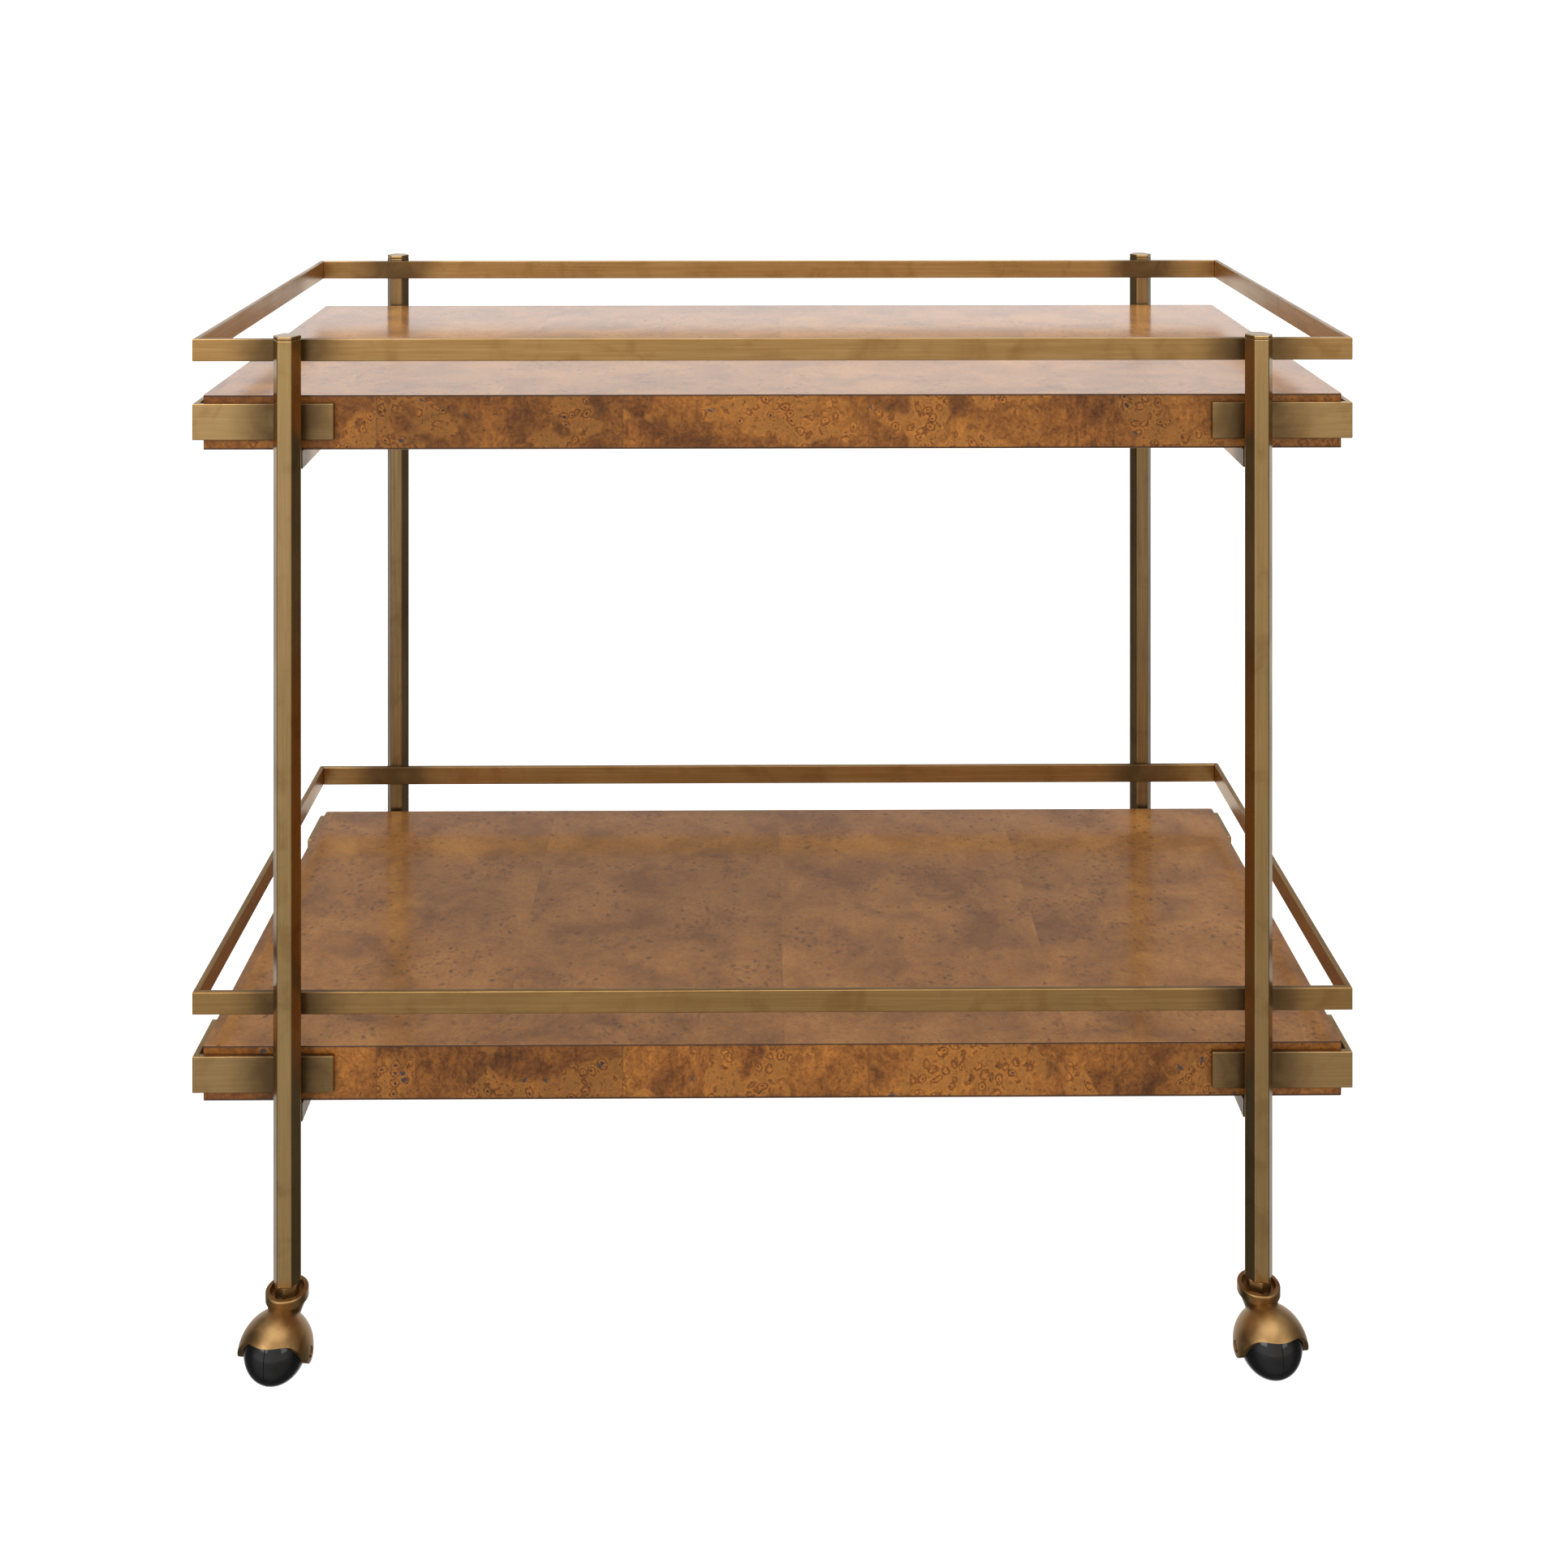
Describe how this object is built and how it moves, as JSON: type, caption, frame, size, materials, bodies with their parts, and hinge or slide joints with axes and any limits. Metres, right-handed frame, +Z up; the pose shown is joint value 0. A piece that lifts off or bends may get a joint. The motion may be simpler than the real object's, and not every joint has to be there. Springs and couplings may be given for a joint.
{
  "type": "bar cart",
  "caption": "Bar cart with thick burl-veneered shelves in an antique brass frame of hexagonal posts and flat-bar gallery rails, rolling on hooded ball casters.",
  "frame": {"origin": "on the floor under the middle of the cart", "axes": "+Z up, +X along the shelves, front at -Y"},
  "size_m": [0.9144, 0.5302, 0.798],
  "materials": {
    "post_brass": "antique brass, brushed along the bar, with a clear lacquer",
    "rail_brass": "antique brass, brushed along the bar, with a clear lacquer",
    "bracket_brass": "antique brass, brushed along the bar, with a clear lacquer",
    "caster_brass": "antique brass, smooth and satin",
    "burl_top": "burl veneer under a satin lacquer",
    "burl_edge": "burl veneer in upright leaves, under a satin lacquer",
    "core_board": "bare board",
    "ball_black": "glossy black moulding",
    "fixings": "plain steel"
  },
  "bodies": {
    "root": {"post_front_left": "post_brass", "post_front_right": "post_brass", "post_rear_left": "post_brass", "post_rear_right": "post_brass", "post_caps": "post_brass", "post_inserts": "fixings", "upper_rail_front": "rail_brass", "upper_rail_rear": "rail_brass", "upper_rail_left": "rail_brass", "upper_rail_right": "rail_brass", "lower_rail_front": "rail_brass", "lower_rail_rear": "rail_brass", "lower_rail_left": "rail_brass", "lower_rail_right": "rail_brass", "upper_bracket_front_left": "bracket_brass", "upper_bracket_front_right": "bracket_brass", "upper_bracket_rear_left": "bracket_brass", "upper_bracket_rear_right": "bracket_brass", "lower_bracket_front_left": "bracket_brass", "lower_bracket_front_right": "bracket_brass", "lower_bracket_rear_left": "bracket_brass", "lower_bracket_rear_right": "bracket_brass", "upper_shelf_core": "core_board", "upper_shelf_top_veneer": "burl_top", "upper_shelf_bottom_veneer": "burl_top", "upper_shelf_edge_veneer": "burl_edge", "upper_bearer_left": "bracket_brass", "upper_bearer_right": "bracket_brass", "upper_shelf_screws": "fixings", "lower_shelf_core": "core_board", "lower_shelf_top_veneer": "burl_top", "lower_shelf_bottom_veneer": "burl_top", "lower_shelf_edge_veneer": "burl_edge", "lower_bearer_left": "bracket_brass", "lower_bearer_right": "bracket_brass", "lower_shelf_screws": "fixings", "caster_stem_front_left": "caster_brass", "caster_stem_front_right": "caster_brass", "caster_stem_rear_left": "caster_brass", "caster_stem_rear_right": "caster_brass", "caster_washers": "fixings", "caster_retaining_rings": "fixings"},
    "caster_front_left": {"caster_hood_front_left": "caster_brass", "caster_axle_front_left": "fixings"},
    "ball_front_left": {"ball_outer_half_front_left": "ball_black", "ball_inner_half_front_left": "ball_black"},
    "caster_front_right": {"caster_hood_front_right": "caster_brass", "caster_axle_front_right": "fixings"},
    "ball_front_right": {"ball_outer_half_front_right": "ball_black", "ball_inner_half_front_right": "ball_black"},
    "caster_rear_left": {"caster_hood_rear_left": "caster_brass", "caster_axle_rear_left": "fixings"},
    "ball_rear_left": {"ball_outer_half_rear_left": "ball_black", "ball_inner_half_rear_left": "ball_black"},
    "caster_rear_right": {"caster_hood_rear_right": "caster_brass", "caster_axle_rear_right": "fixings"},
    "ball_rear_right": {"ball_outer_half_rear_right": "ball_black", "ball_inner_half_rear_right": "ball_black"}
  },
  "joints": [
    {"name": "swivel_front_left", "type": "hinge", "parent": "root", "child": "caster_front_left", "pos_m": [-0.38, -0.21907, 0.0493], "axis": [0, 0, 1], "continuous": true},
    {"name": "roll_front_left", "type": "hinge", "parent": "caster_front_left", "child": "ball_front_left", "pos_m": [-0.38312, -0.24126, 0.0238], "axis": [-0.9903, 0.1392, 0], "continuous": true},
    {"name": "swivel_front_right", "type": "hinge", "parent": "root", "child": "caster_front_right", "pos_m": [0.38, -0.21907, 0.0493], "axis": [0, 0, 1], "continuous": true},
    {"name": "roll_front_right", "type": "hinge", "parent": "caster_front_right", "child": "ball_front_right", "pos_m": [0.38312, -0.24126, 0.0238], "axis": [0.9903, 0.1392, 0], "continuous": true},
    {"name": "swivel_rear_left", "type": "hinge", "parent": "root", "child": "caster_rear_left", "pos_m": [-0.38, 0.21907, 0.0493], "axis": [0, 0, 1], "continuous": true},
    {"name": "roll_rear_left", "type": "hinge", "parent": "caster_rear_left", "child": "ball_rear_left", "pos_m": [-0.38312, 0.24126, 0.0238], "axis": [-0.9903, -0.1392, 0], "continuous": true},
    {"name": "swivel_rear_right", "type": "hinge", "parent": "root", "child": "caster_rear_right", "pos_m": [0.38, 0.21907, 0.0493], "axis": [0, 0, 1], "continuous": true},
    {"name": "roll_rear_right", "type": "hinge", "parent": "caster_rear_right", "child": "ball_rear_right", "pos_m": [0.38312, 0.24126, 0.0238], "axis": [0.9903, -0.1392, 0], "continuous": true}
  ]
}
